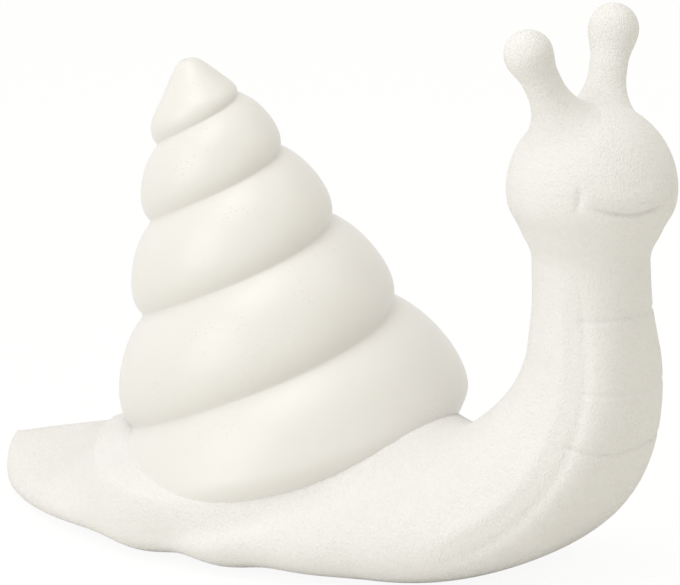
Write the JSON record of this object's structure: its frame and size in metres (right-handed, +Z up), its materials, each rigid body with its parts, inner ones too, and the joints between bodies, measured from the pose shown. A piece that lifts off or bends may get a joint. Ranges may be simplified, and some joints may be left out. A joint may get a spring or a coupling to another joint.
{
  "type": "snail figurine",
  "caption": "Matte white snail figurine with a raised neck, round head, clubbed eye stalks and a satin spiral shell seated on its back; stands on a flat sole.",
  "frame": {"origin": "on the table under the middle of the snail's length and width", "axes": "+X towards the head, +Y to the snail's left, +Z up"},
  "size_m": [0.252, 0.128, 0.1696],
  "materials": {
    "cast_stone": "matte, fine sandy grain",
    "satin_glaze": "satin",
    "steel": "plain bar",
    "mortar": "rough"
  },
  "bodies": {
    "root": {"body_casting": "cast_stone", "shell_casting": "satin_glaze", "left_eye_stalk": "cast_stone", "right_eye_stalk": "cast_stone", "neck_bar": "steel", "eye_stalk_pins": "steel", "shell_dowels": "steel", "shell_mortar_bed": "mortar"}
  },
  "joints": []
}
